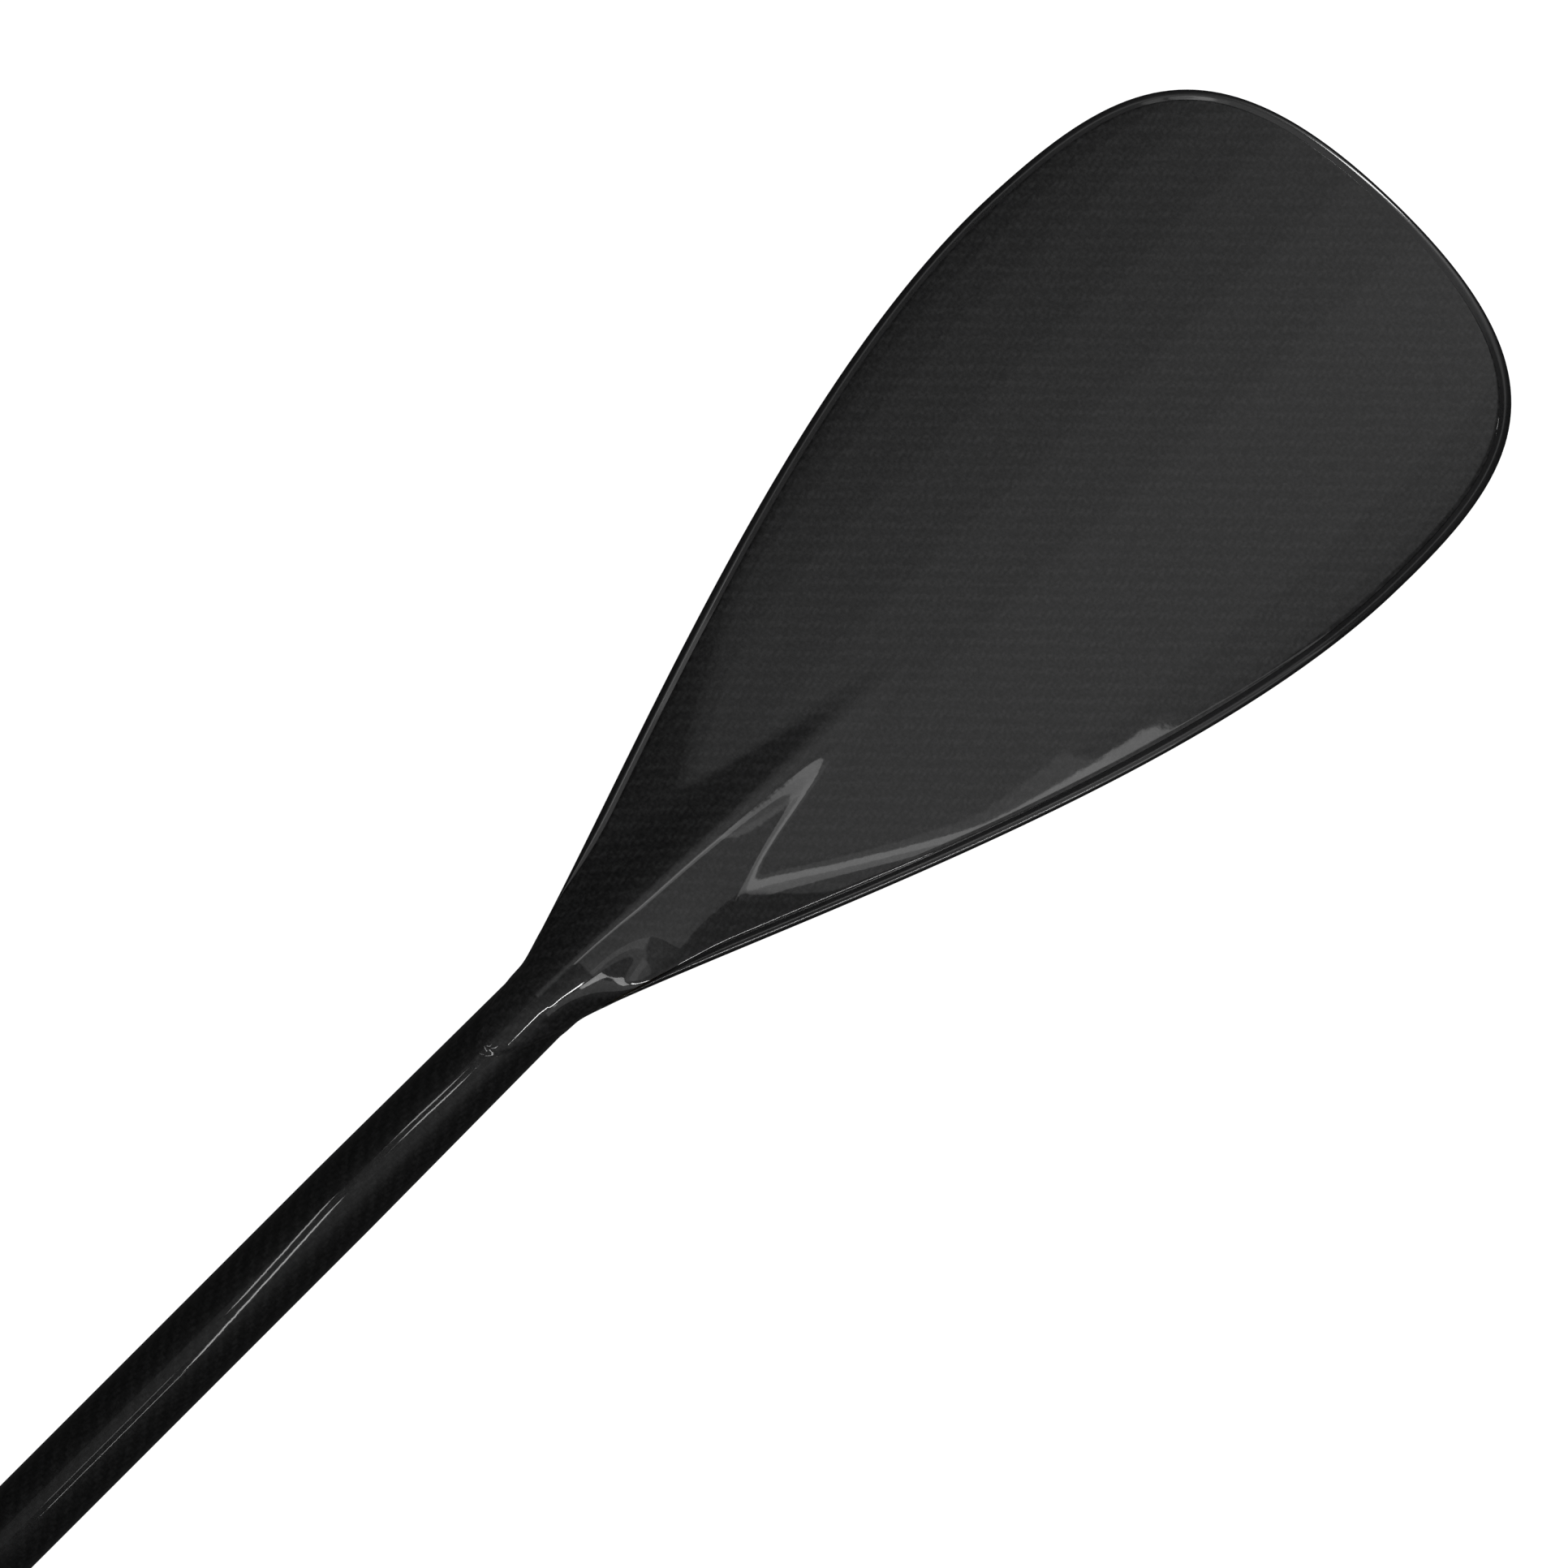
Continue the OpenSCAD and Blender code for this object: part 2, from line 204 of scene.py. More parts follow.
def lap_row(i, side, out):
    """Row of the tongue on the shaft, out from its surface."""
    row = []
    for a in ANGLES:
        start = -(2 * MM + (TONGUE - 2 * MM) * math.cos(a) ** 2)
        s = start * (1 - (i / LAP_ROWS) ** 1.6)
        lip = mix(0.3, 1, ease((s - start) / (3 * MM)))
        r = shaft_radius(s) + out * lip
        row.append(((s, r * math.sin(a)), place(s, r * math.sin(a), side * r * math.cos(a))))
    return row


def face_row(q, side, depth):
    """Row across the blade at outline place q, depth below the face."""
    row = []
    wide = outline(q)[1]
    s, w = inset(q)
    thin = 1 - ease(s / ROUND_RUN)
    side_gap = depth * thin + (0.3 * MM if depth > SKIN else 0)
    roll = ROLL_OFF * ease((s - 20 * MM) / (40 * MM))
    for a in ANGLES:
        n = height(s, w * math.sin(a), max(wide, w), side)
        n -= roll * max(0, 1 - w * (1 - abs(math.sin(a))) / ROLL_W) ** 2
        n -= depth * (thin * math.cos(a) + 1 - thin)
        row.append(((s, w * math.sin(a)), place(s, (w - side_gap) * math.sin(a), side * n)))
    return row


def ring_row(s, r, side):
    """Half circle of radius r round the shaft line."""
    return [((s, r * math.sin(a)), place(s, r * math.sin(a), side * r * math.cos(a))) for a in ANGLES]


def filling(side, first, last, tail=()):
    """Rows of the foam between the skins, after any round rows inside the shaft."""
    rows = [ring_row(s, r, side) for s, r in tail]
    return rows + [face_row(q, side, SKIN + 0.1 * MM) for q in STOPS if first <= q < last]


def skin_rows(side, depth, lap):
    return [lap_row(i, side, lap) for i in range(LAP_ROWS + 1)] + [face_row(q, side, depth) for q in STOPS]


# ---------------------------------------------------------------- mesh helpers
def finish_mesh(name, bm, smooth=math.radians(35), flip=False):
    if flip:
        bmesh.ops.scale(bm, vec=(-1, 1, 1), verts=bm.verts)
        bmesh.ops.reverse_faces(bm, faces=bm.faces)
    me = bpy.data.meshes.new(name)
    bm.to_mesh(me)
    bm.free()
    me.polygons.foreach_set("use_smooth", [True] * len(me.polygons))
    me.set_sharp_from_angle(angle=smooth)
    ob = bpy.data.objects.new(name, me)
    scene.collection.objects.link(ob)
    return ob


def sheet_solid(name, outer, inner, flip):
    """Closed thin solid between two grids of (uv, point) rows; the weave lies along the rows' arc length."""
    bm = bmesh.new()
    uv = bm.loops.layers.uv.new("weave")
    coords = {}

    def add(rows):
        grid = []
        for row in rows:
            mid = len(row) // 2
            run = [0.0] * len(row)
            for j in range(mid + 1, len(row)):
                run[j] = run[j - 1] + (Vector(row[j][1]) - Vector(row[j - 1][1])).length
            for j in range(mid - 1, -1, -1):
                run[j] = run[j + 1] - (Vector(row[j][1]) - Vector(row[j + 1][1])).length
            grid.append([bm.verts.new(point) for _, point in row])
            for v, (flat, _), along in zip(grid[-1], row, run):
                coords[v] = ((flat[0] + 0.1) / TOW, along / TOW)
        return grid

    a, b = add(outer), add(inner)
    rows, cols = len(a), len(a[0])
    for i in range(rows - 1):
        for j in range(cols - 1):
            bm.faces.new((a[i][j], a[i][j + 1], a[i + 1][j + 1], a[i + 1][j]))
            bm.faces.new((b[i][j], b[i + 1][j], b[i + 1][j + 1], b[i][j + 1]))
    loop = [(0, j) for j in range(cols - 1)] + [(i, cols - 1) for i in range(rows - 1)]
    loop += [(rows - 1, j) for j in range(cols - 1, 0, -1)] + [(i, 0) for i in range(rows - 1, 0, -1)]
    for k, (i, j) in enumerate(loop):
        m, n = loop[(k + 1) % len(loop)]
        bm.faces.new((a[i][j], b[i][j], b[m][n], a[m][n]))
    for f in bm.faces:
        for lp in f.loops:
            lp[uv].uv = coords[lp.vert]
    bmesh.ops.recalc_face_normals(bm, faces=bm.faces)
    return finish_mesh(name, bm, flip=flip)


def round_point(x, r, a, axis, centre):
    """Point x along an axis and r from it, at angle a round it."""
    return AXES[axis] @ Vector((x, r * math.cos(a), r * math.sin(a))) + Vector(centre)


def lathe(bm, profile, around=96, swell=None, axis="X", centre=(0, 0, 0)):
    """Adds a closed ring solid: profile is a loop of (along, radius); swell may change radius by angle."""
    uv = bm.loops.layers.uv.verify()
    rings = []
    for x, r in profile:
        ring = []
        for k in range(around):
            a = 2 * math.pi * k / around
            ring.append(bm.verts.new(round_point(x, swell(x, r, a) if swell else r, a, axis, centre)))
        rings.append(ring)
    count = len(profile)
    made = []
    for i in range(count):
        n = (i + 1) % count
        for k in range(around):
            m = (k + 1) % around
            f = bm.faces.new((rings[i][k], rings[i][m], rings[n][m], rings[n][k]))
            made.append(f)
            u = [profile[i][0], profile[i][0], profile[n][0], profile[n][0]]
            w = [k, k + 1, k + 1, k]
            for lp, uu, ww in zip(f.loops, u, w):
                lp[uv].uv = ((uu + 0.1) / TOW, ww / around * TOWS_ROUND)
    bmesh.ops.recalc_face_normals(bm, faces=made)
    return made


def rod(bm, profile, around=48, axis="X", centre=(0, 0, 0)):
    """Adds a solid of revolution: profile is an open line of (along, radius), closed on the axis by caps."""
    rings = []
    for x, r in profile:
        rings.append([bm.verts.new(round_point(x, r, 2 * math.pi * k / around, axis, centre))
                      for k in range(around)])
    made = [bm.faces.new(rings[0]), bm.faces.new(rings[-1])]
    for a, b in zip(rings, rings[1:]):
        for k in range(around):
            m = (k + 1) % around
            made.append(bm.faces.new((a[k], a[m], b[m], b[k])))
    bmesh.ops.recalc_face_normals(bm, faces=made)


def plate(bm, points, x0, x1):
    """Adds a Y-Z outline extruded along X."""
    a = [bm.verts.new((x0, y, z)) for y, z in points]
    b = [bm.verts.new((x1, y, z)) for y, z in points]
    made = [bm.faces.new(a), bm.faces.new(b)]
    for k in range(len(points)):
        m = (k + 1) % len(points)
        made.append(bm.faces.new((a[k], a[m], b[m], b[k])))
    bmesh.ops.recalc_face_normals(bm, faces=made)


def arc(cy, cz, r, a0, a1, n=24):
    """Points of an arc in the Y-Z plane, angles in degrees from +Y towards +Z."""
    return [(cy + r * math.cos(math.radians(mix(a0, a1, k / n))),
             cz + r * math.sin(math.radians(mix(a0, a1, k / n)))) for k in range(n + 1)]


def rounded(points):
    """Rounds a closed profile by cutting its corners twice."""
    for _ in range(2):
        pairs = list(zip(points, points[1:] + points[:1]))
        points = [tuple(mix(a[i], b[i], q) for i in (0, 1)) for a, b in pairs for q in (0.22, 0.78)]
    return points


def block(x0, x1, y0, y1, z0, z1):
    """Plain box, to be cut from a part or joined to it."""
    bm = bmesh.new()
    plate(bm, [(y0, z0), (y1, z0), (y1, z1), (y0, z1)], x0, x1)
    return finish_mesh("cutter", bm)


def paint(ob, slot):
    ob.data.materials.clear()
    ob.data.materials.append(MATERIALS[slot])


def stand_for(ob, body, node):
    """Puts a fine piece in the place of the frame's node, on the same body and with its material."""
    slot = next(p["material_slot"] for p in frame["record"]["subparts"] if p["node"] == node)
    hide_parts(node)
    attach(ob, body)
    paint(ob, slot)


# ---------------------------------------------------------------- materials
def shader(name):
    mat = bpy.data.materials.new(name)
    mat.use_nodes = True
    tree = mat.node_tree
    return mat, tree, tree.nodes["Principled BSDF"]


def node(tree, kind, inputs=None, **props):
    n = tree.nodes.new(kind)
    for k, v in props.items():
        setattr(n, k, v)
    for k, v in (inputs or {}).items():
        if hasattr(v, "links"):
            tree.links.new(v, n.inputs[k])
        else:
            n.inputs[k].default_value = v
    return n


def calc(tree, op, a, b=0.0, c=0.0):
    return node(tree, "ShaderNodeMath", {0: a, 1: b, 2: c}, operation=op).outputs[0]


def ramp(tree, value, low, high, a, b):
    return node(tree, "ShaderNodeMapRange", {"Value": value, "From Min": low, "From Max": high,
                                             "To Min": a, "To Max": b}).outputs[0]


def noise(tree, coord, scale, detail=3.0, rough=0.55):
    return node(tree, "ShaderNodeTexNoise", {"Vector": coord, "Scale": scale, "Detail": detail,
                                             "Roughness": rough}).outputs[0]


def tint(tree, factor, dark, light):
    m = node(tree, "ShaderNodeMix", {0: factor}, data_type="RGBA")
    m.inputs[6].default_value = (*dark, 1)
    m.inputs[7].default_value = (*light, 1)
    return m.outputs[2]


def tow_height(tree, across, along):
    """Tow that is round across and arches along its float over two others."""
    side = calc(tree, "SINE", calc(tree, "MULTIPLY", calc(tree, "FRACT", across), math.pi))
    span = calc(tree, "FLOORED_MODULO", along, 4.0)
    arch = calc(tree, "SINE", calc(tree, "MULTIPLY", span, math.pi / 2))
    return calc(tree, "ADD", calc(tree, "MULTIPLY", side, 0.6), calc(tree, "MULTIPLY", arch, 0.4))


def carbon(name, lit_warp=0.030, shaded_weft=0.017, coat=1.0, coat_rough=0.035, rough=0.42):
    """2 x 2 twill under clear coat; its colour holds painted sheen, warp tows lighter than weft tows, and
    painted shade where the tows dip. The weave UV counts tows: U along the shaft, V across it.
    """
    mat, tree, bsdf = shader(name)
    uv = node(tree, "ShaderNodeUVMap", uv_map="weave").outputs[0]
    sep = node(tree, "ShaderNodeSeparateXYZ", {0: uv})
    u, v = sep.outputs[0], sep.outputs[1]
    i, j = calc(tree, "FLOOR", u), calc(tree, "FLOOR", v)
    on_warp = calc(tree, "LESS_THAN", calc(tree, "FLOORED_MODULO", calc(tree, "ADD", i, j), 4.0), 1.5)
    h_warp = tow_height(tree, v, calc(tree, "ADD", u, j))
    h_weft = tow_height(tree, u, calc(tree, "ADD", calc(tree, "ADD", v, i), 2.0))
    h = node(tree, "ShaderNodeMix", {0: on_warp, 2: h_weft, 3: h_warp}).outputs[0]
    # fibres run along each tow
    along_u = node(tree, "ShaderNodeMapping", {"Vector": uv, "Scale": (0.5, 14.0, 1.0)}).outputs[0]
    along_v = node(tree, "ShaderNodeMapping", {"Vector": uv, "Scale": (14.0, 0.5, 1.0)}).outputs[0]
    fibre = node(tree, "ShaderNodeMix", {0: on_warp, 2: noise(tree, along_v, 1.0, 2.0),
                                         3: noise(tree, along_u, 1.0, 2.0)}).outputs[0]
    spot = node(tree, "ShaderNodeTexCoord").outputs["Object"]
    cloud = noise(tree, spot, 9.0, 4.0)
    # painted shade: the colour is darkened where a tow's height falls, at its sides and where it dips under
    # the next tows; fibre, cloud and grain noise then add random tone
    painted_shade_and_grain = calc(tree, "MULTIPLY", calc(tree, "ADD", calc(tree, "MULTIPLY", h, 0.35), 0.72),
                 ramp(tree, fibre, 0.25, 0.75, 0.7, 1.3))
    painted_shade_and_grain = calc(tree, "MULTIPLY", painted_shade_and_grain, ramp(tree, cloud, 0.3, 0.7, 0.93, 1.07))
    grain = noise(tree, spot, 650.0, 3.0)
    painted_shade_and_grain = calc(tree, "MULTIPLY", painted_shade_and_grain, ramp(tree, grain, 0.35, 0.65, 0.45, 1.55))
    # painted sheen: warp tows are tinted lighter than weft tows, in place of the fibres' reflection that
    # changes with their direction
    tow = tint(tree, on_warp, (shaded_weft, shaded_weft, shaded_weft * 1.03), (lit_warp, lit_warp, lit_warp * 1.02))
    colour = node(tree, "ShaderNodeVectorMath", {0: tow, "Scale": painted_shade_and_grain}, operation="SCALE").outputs[0]
    tree.links.new(colour, bsdf.inputs["Base Color"])
    tree.links.new(ramp(tree, fibre, 0.3, 0.7, rough - 0.05, rough + 0.08), bsdf.inputs["Roughness"])
    lumps = calc(tree, "ADD", calc(tree, "MULTIPLY", h, 0.8), calc(tree, "MULTIPLY", fibre, 0.25))
    bump = node(tree, "ShaderNodeBump", {"Strength": 0.25, "Distance": 0.0001, "Height": lumps}).outputs[0]
    tree.links.new(bump, bsdf.inputs["Normal"])
    peel = noise(tree, spot, 160.0, 2.0)
    skin = node(tree, "ShaderNodeBump", {"Strength": 0.05, "Distance": 0.0002, "Height": peel}).outputs[0]
    tree.links.new(skin, bsdf.inputs["Coat Normal"])
    bsdf.inputs["Specular IOR Level"].default_value = 0.35
    bsdf.inputs["Coat Weight"].default_value = coat
    bsdf.inputs["Coat Roughness"].default_value = coat_rough
    bsdf.inputs["Coat IOR"].default_value = 1.5
    return mat


def solid_look(name, dark, light, rough, scale=60.0, bump=0.1, metal=0.0, coat=0.0, depth=0.0002):
    """Moulded, turned or cast material: colour, roughness and relief all vary with fine and broad noise."""
    mat, tree, bsdf = shader(name)
    spot = node(tree, "ShaderNodeTexCoord").outputs["Object"]
    broad = noise(tree, spot, scale * 0.3, 4.0)
    fine = noise(tree, spot, scale * 12, 3.0)
    both = calc(tree, "ADD", calc(tree, "MULTIPLY", broad, 0.6), calc(tree, "MULTIPLY", fine, 0.4))
    tree.links.new(tint(tree, ramp(tree, both, 0.35, 0.65, 0, 1), dark, light), bsdf.inputs["Base Color"])
    tree.links.new(ramp(tree, both, 0.3, 0.7, rough - 0.06, rough + 0.08), bsdf.inputs["Roughness"])
    b = node(tree, "ShaderNodeBump", {"Strength": bump, "Distance": depth, "Height": fine}).outputs[0]
    tree.links.new(b, bsdf.inputs["Normal"])
    bsdf.inputs["Metallic"].default_value = metal
    bsdf.inputs["Coat Weight"].default_value = coat
    bsdf.inputs["Coat Roughness"].default_value = 0.04
    return mat


def turned_metal(name, dark, light, rough):
    """Metal with fine lathe lines round the shaft line."""
    mat, tree, bsdf = shader(name)
    spot = node(tree, "ShaderNodeTexCoord").outputs["Object"]
    drawn = node(tree, "ShaderNodeMapping", {"Vector": spot, "Scale": (6000.0, 40.0, 40.0)}).outputs[0]
    lines = noise(tree, drawn, 1.0, 2.0)
    tree.links.new(tint(tree, lines, dark, light), bsdf.inputs["Base Color"])
    tree.links.new(ramp(tree, lines, 0.3, 0.7, rough - 0.06, rough + 0.1), bsdf.inputs["Roughness"])
    b = node(tree, "ShaderNodeBump", {"Strength": 0.15, "Distance": 0.00005, "Height": lines}).outputs[0]
    tree.links.new(b, bsdf.inputs["Normal"])
    bsdf.inputs["Metallic"].default_value = 1.0
    return mat


def grip_rubber(name):
    """Soft grip with a pebbled surface."""
    mat, tree, bsdf = shader(name)
    spot = node(tree, "ShaderNodeTexCoord").outputs["Object"]
    cells = node(tree, "ShaderNodeTexVoronoi", {"Vector": spot, "Scale": 900.0}).outputs["Distance"]
    dust = noise(tree, spot, 50.0, 5.0)
    colour = tint(tree, ramp(tree, dust, 0.35, 0.7, 0, 1), (0.016, 0.016, 0.017), (0.030, 0.030, 0.031))
    tree.links.new(colour, bsdf.inputs["Base Color"])
    tree.links.new(ramp(tree, cells, 0.0, 0.6, 0.62, 0.8), bsdf.inputs["Roughness"])
    b = node(tree, "ShaderNodeBump", {"Strength": 0.5, "Distance": 0.0003, "Height": cells}, invert=True)
    tree.links.new(b.outputs[0], bsdf.inputs["Normal"])
    return mat


# in the carbon materials the warp level set above the weft level is painted sheen
MATERIALS = {
    "carbon_blade": carbon("carbon_blade", lit_warp=0.030, shaded_weft=0.021),
    "carbon_shaft": carbon("carbon_shaft", lit_warp=0.020, shaded_weft=0.012),
    "carbon_spigot": carbon("carbon_spigot", lit_warp=0.030, shaded_weft=0.022, coat=0.2, coat_rough=0.3, rough=0.5),
    "rim_resin": solid_look("rim_resin", (0.016, 0.016, 0.017), (0.024, 0.024, 0.025), 0.3, coat=1.0,
                            bump=0.05),
    "foam": solid_look("foam", (0.70, 0.66, 0.54), (0.82, 0.79, 0.68), 0.85, scale=200, bump=0.5),
    "foam_dense": solid_look("foam_dense", (0.48, 0.42, 0.30), (0.60, 0.54, 0.40), 0.8, scale=150, bump=0.4),
    "soft_rubber": solid_look("soft_rubber", (0.014, 0.014, 0.014), (0.024, 0.024, 0.025), 0.55, scale=90),
    "grip_rubber": grip_rubber("grip_rubber"),
    "anodised": turned_metal("anodised", (0.03, 0.03, 0.033), (0.06, 0.06, 0.064), 0.38),
    "moulded": solid_look("moulded", (0.022, 0.022, 0.024), (0.034, 0.034, 0.036), 0.48, scale=120,
                          bump=0.25),
    "lever_plastic": solid_look("lever_plastic", (0.028, 0.028, 0.03), (0.042, 0.042, 0.044), 0.4, scale=120,
                                bump=0.2),
    "saddle_plastic": solid_look("saddle_plastic", (0.32, 0.32, 0.33), (0.42, 0.42, 0.43), 0.5, bump=0.1),
    "stainless": turned_metal("stainless", (0.45, 0.45, 0.46), (0.62, 0.62, 0.63), 0.3),
    "brass_nut": turned_metal("brass_nut", (0.55, 0.38, 0.14), (0.72, 0.53, 0.24), 0.3),
}
for part in frame["record"]["subparts"]:
    paint(frame["nodes"][part["node"]], part["material_slot"])


# ---------------------------------------------------------------- blades and shafts
RIM_START = 0.06


def build_rim(name, flip):
    """Resin band round the blade: a sunk groove beside the skin and a round bead at the edge."""
    bead, bead_h = 0.56, 0.93
    profile = [(1, 0.70), (0.86, 0.77), (0.7, 0.86), (bead, bead_h)]
    profile += [(bead * a, bead_h * math.sqrt(1 - (1 - a) ** 2))
                for a in (0.8, 0.6, 0.42, 0.28, 0.16, 0.08, 0.03, 0.006)]
    profile += [(a, -b) for a, b in reversed(profile)]
    side = [mix(RIM_START, 1, k / 90) for k in range(90)]
    side += [1 + math.sin(math.pi / 2 * k / 60) for k in range(61)]
    path = [(q, 1) for q in side] + [(q, -1) for q in reversed(side[:-1])]
    bm = bmesh.new()
    uv = bm.loops.layers.uv.new("weave")
    rings = []
    for q, hand in path:
        s, w = outline(q)
        n = inward(q)
        d = rim_at(s) - BOND
        rings.append([bm.verts.new(place(s + a * d * n[0], hand * max(w + a * d * n[1], 0), b * edge_at(s)))
                      for a, b in profile])
    m = len(profile)
    for i in range(len(rings) - 1):
        for j in range(m):
            k = (j + 1) % m
            f = bm.faces.new((rings[i][j], rings[i][k], rings[i + 1][k], rings[i + 1][j]))
            for lp, c in zip(f.loops, ((i, j), (i, j + 1), (i + 1, j + 1), (i + 1, j))):
                lp[uv].uv = (c[0] * 0.7, c[1] * 0.3)
    bm.faces.new(rings[0])
    bm.faces.new(rings[-1])
    bmesh.ops.recalc_face_normals(bm, faces=bm.faces)
    return finish_mesh(name, bm, smooth=math.radians(50), flip=flip)


def build_shaft(name, start, flip):
    """Carbon tube with a tapered end; the bore narrows with it."""
    steps = 12
    bore = SHAFT_R - WALL
    outer = [(start, SHAFT_R - 0.3 * MM), (start + 0.3 * MM, SHAFT_R)]
    outer += [(mix(start, NECK_X - TAPER, k / 20), SHAFT_R) for k in range(1, 21)]
    outer += [(NECK_X - TAPER * (1 - k / steps), mix(SHAFT_R, NECK_R, k / steps))
              for k in range(1, steps + 1)]
    inner = [(NECK_X, NECK_R - WALL), (NECK_X - 62 * MM, NECK_R - WALL), (NECK_X - TAPER - 5 * MM, bore),
             (start, bore)]
    bm = bmesh.new()
    bm.loops.layers.uv.new("weave")
    lathe(bm, outer + inner, around=128, centre=(0, 0, AXIS_Z))
    return finish_mesh(name, bm, flip=flip)


def build_drip_ring(name, low, flip):
    """Soft hub with a cup that opens towards the blade."""
    p = [(0, 0.05), (0, 2.2), (2.4, 2.6), (8.5, 8.0), (11.6, 8.6), (11.9, 7.4), (9.4, 6.2), (6.2, 2.8),
         (14, 2.2), (14, 0.05)]
    loop = rounded([(low + a * MM, SHAFT_R + b * MM) for a, b in p])
    bm = bmesh.new()
    lathe(bm, loop, around=96, centre=(0, 0, AXIS_Z))
    return finish_mesh(name, bm, flip=flip)


def build_grip(name, low, high, flip):
    """Hand grip: a thin sleeve that swells to an oval below the shaft, with rounded ends."""
    drop, swell_r = 3.4 * MM, SHAFT_R - 1.4 * MM
    base = SHAFT_R + 0.9 * MM
    ends = 7 * MM

    def radius(x, r, a):
        if r < base - 0.01 * MM:
            return r
        # circle of swell_r centred drop below the axis, seen from the axis
        egg = -drop * math.sin(a) + math.sqrt(max(swell_r ** 2 - (drop * math.cos(a)) ** 2, 0))
        k = ease((x - low - 1 * MM) / ends) * ease((high - 1 * MM - x) / ends)
        return soft_max(base, mix(base - 2 * MM, egg, k), 0.6 * MM)

    count = 60
    xs = [mix(low, high, k / count) for k in range(count + 1)]
    outer = [(low, base - 0.5 * MM)] + [(x, base) for x in [low + 0.3 * MM] + xs[1:-1] + [high - 0.3 * MM]]
    outer += [(high, base - 0.5 * MM)]
    inner = [(high, SHAFT_R + 0.03 * MM), (low, SHAFT_R + 0.03 * MM)]
    bm = bmesh.new()
    lathe(bm, outer + inner, around=96, swell=radius, centre=(0, 0, AXIS_Z))
    return finish_mesh(name, bm, flip=flip)


PLUG_END = 0.35
PLUG_R = NECK_R - WALL - BOND
TAIL = [(-60 * MM, PLUG_R - 1.5 * MM), (-58 * MM, PLUG_R), (-0.5 * MM, PLUG_R),
        (0.5 * MM, PLUG_R + 0.25 * MM)]
for side, hand in SIDES.items():
    half = side + "_half"
    flip = hand < 0
    back = sheet_solid(side + "_back_face", skin_rows(1, 0, LAP), skin_rows(1, SKIN, 0.03 * MM), flip)
    stand_for(back, half, side + "_back_skin")
    power = sheet_solid(side + "_power_face", skin_rows(-1, 0, LAP), skin_rows(-1, SKIN, 0.03 * MM), flip)
    stand_for(power, half, side + "_power_skin")
    foam = sheet_solid(side + "_foam_core", filling(1, PLUG_END, 2), filling(-1, PLUG_END, 2), flip)
    stand_for(foam, half, side + "_blade_core")
    plug = sheet_solid(side + "_plug", filling(1, 0, PLUG_END, TAIL), filling(-1, 0, PLUG_END, TAIL), flip)
    stand_for(plug, half, side + "_neck_plug")
    stand_for(build_rim(side + "_rim_band", flip), half, side + "_rim")
    stand_for(build_shaft(side + "_shaft_tube", SHAFT_START[side], flip), half, side + "_shaft")
    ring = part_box(side + "_drip_ring")
    ring_low = min(abs(ring[0][0]), abs(ring[1][0]))
    stand_for(build_drip_ring(side + "_drip_cup", ring_low, flip), side + "_ring", side + "_drip_ring")
    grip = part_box(side + "_hand_grip")
    low_high = sorted((abs(grip[0][0]), abs(grip[1][0])))
    stand_for(build_grip(side + "_grip_sleeve", *low_high, flip), half, side + "_hand_grip")


# ---------------------------------------------------------------- centre joint
def reach(node, k=0):
    """Lowest and highest coordinate of the node along axis k."""
    low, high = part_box(node)
    return low[k], high[k]


def centre(node, k):
    low, high = reach(node, k)
    return (low + high) / 2


def ring_solid(name, loop, around=128, swell=None):
    """Turned part round the shaft line; loop holds (x, radius) points."""
    bm = bmesh.new()
    bm.loops.layers.uv.new("weave")
    lathe(bm, loop, around=around, swell=swell, centre=(0, 0, AXIS_Z))
    return finish_mesh(name, bm)


def profile_solid(name, points, x0, x1, edge=0.5 * MM):
    """Part extruded along X from an outline of (y, z) in mm from the shaft line, edges rounded."""
    bm = bmesh.new()
    bm.loops.layers.uv.new("weave")
    plate(bm, [(y * MM, AXIS_Z + z * MM) for y, z in points], x0, x1)
    return round_edges(finish_mesh(name, bm), edge)


def round_edges(ob, width):
    """Rounds the sharp edges to this width."""
    m = ob.modifiers.new("bevel", "BEVEL")
    m.width = width
    m.segments = 3
    m.limit_method = "ANGLE"
    m.angle_limit = math.radians(40)
    bake(ob)
    return ob


def bake(ob):
    """Turns the modifiers' result into the object's own mesh."""
    deps = bpy.context.evaluated_depsgraph_get()
    me = bpy.data.meshes.new_from_object(ob.evaluated_get(deps))
    ob.modifiers.clear()
    ob.data = me
    me.polygons.foreach_set("use_smooth", [True] * len(me.polygons))
    me.set_sharp_from_angle(angle=math.radians(35))


def combine(ob, other, operation="DIFFERENCE"):
    """Joins the other shape to ob or cuts it out of ob, and deletes the other shape."""
    m = ob.modifiers.new("combine", "BOOLEAN")
    m.operation = operation
    m.solver = "EXACT"
    m.object = other
    bake(ob)
    bpy.data.objects.remove(other)
    return ob


def pin_shape(profile, axis, at, around=64):
    """Turned solid round its own axis through at."""
    bm = bmesh.new()
    rod(bm, profile, around, axis, at)
    return finish_mesh("shape", bm)


def polar(r, degrees):
    a = math.radians(degrees)
    return r * math.cos(a), r * math.sin(a)


BOLT_X, EAR_Y = centre("clamp_bolt", 0), centre("clamp_bolt", 1)
PIN_Z = centre("lever_pin", 2)
EAR = EAR_Y / MM
PIN = (PIN_Z - AXIS_Z) / MM
BOLT_R = 2.5 * MM
PIN_R = size_of("lever_pin")[2] / 2
BOLT_HOLE = 2.6 * MM
RING_R = size_of("index_ring")[1] / 2 + 0.2 * MM - 1 * MM
CAM_R = reach("cam_lever", 1)[1] / MM - EAR
SPIGOT_R = 13 * MM
BORE_R = SHAFT_R - WALL
RUN = 0.05 * MM
SLIDE_R = SPIGOT_R + RUN


